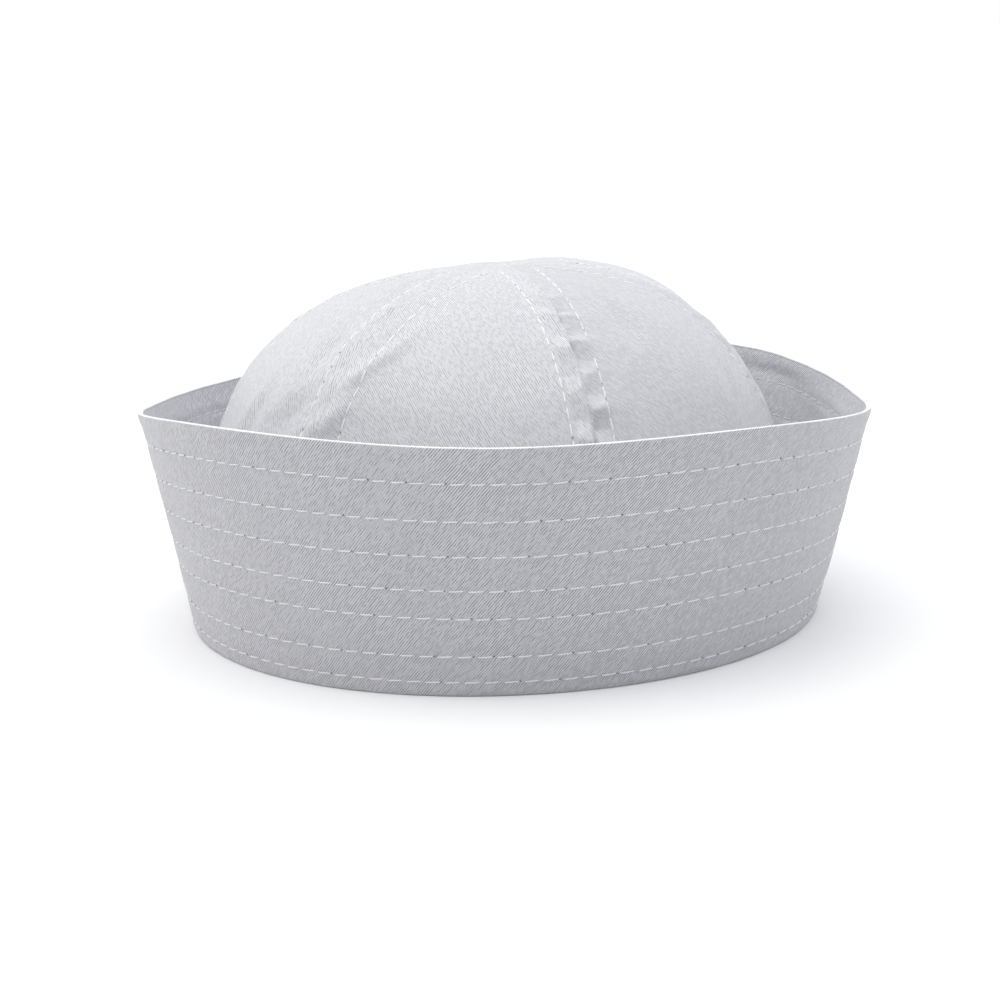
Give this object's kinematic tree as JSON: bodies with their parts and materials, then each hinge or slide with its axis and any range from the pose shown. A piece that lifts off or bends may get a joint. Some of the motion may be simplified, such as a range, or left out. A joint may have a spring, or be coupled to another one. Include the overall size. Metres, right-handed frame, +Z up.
{
  "type": "sailor cap",
  "caption": "White cotton sailor cap with a domed crown of sewn gores inside a tall turned-up stitched brim, lying on its lower fold.",
  "frame": {"origin": "centre of the bounding box's base, on the surface that the lower fold rests on", "axes": "+Z up, +X along the cap's widest extent, to the right in the picture's view; the front of that view is -Y"},
  "size_m": [0.2278, 0.2212, 0.109],
  "materials": {
    "crown_twill": "fine white cotton twill, matt, soft puckers at the seams",
    "brim_twill": "white cotton twill quilted with rows of lockstitch, matt",
    "thread": "white polyester sewing thread with a faint sheen"
  },
  "bodies": {
    "root": {"crown_gore_1": "crown_twill", "crown_gore_2": "crown_twill", "crown_gore_3": "crown_twill", "crown_gore_4": "crown_twill", "crown_gore_5": "crown_twill", "crown_gore_6": "crown_twill", "brim_outer_ply": "brim_twill", "brim_inner_ply": "brim_twill"}
  },
  "joints": []
}
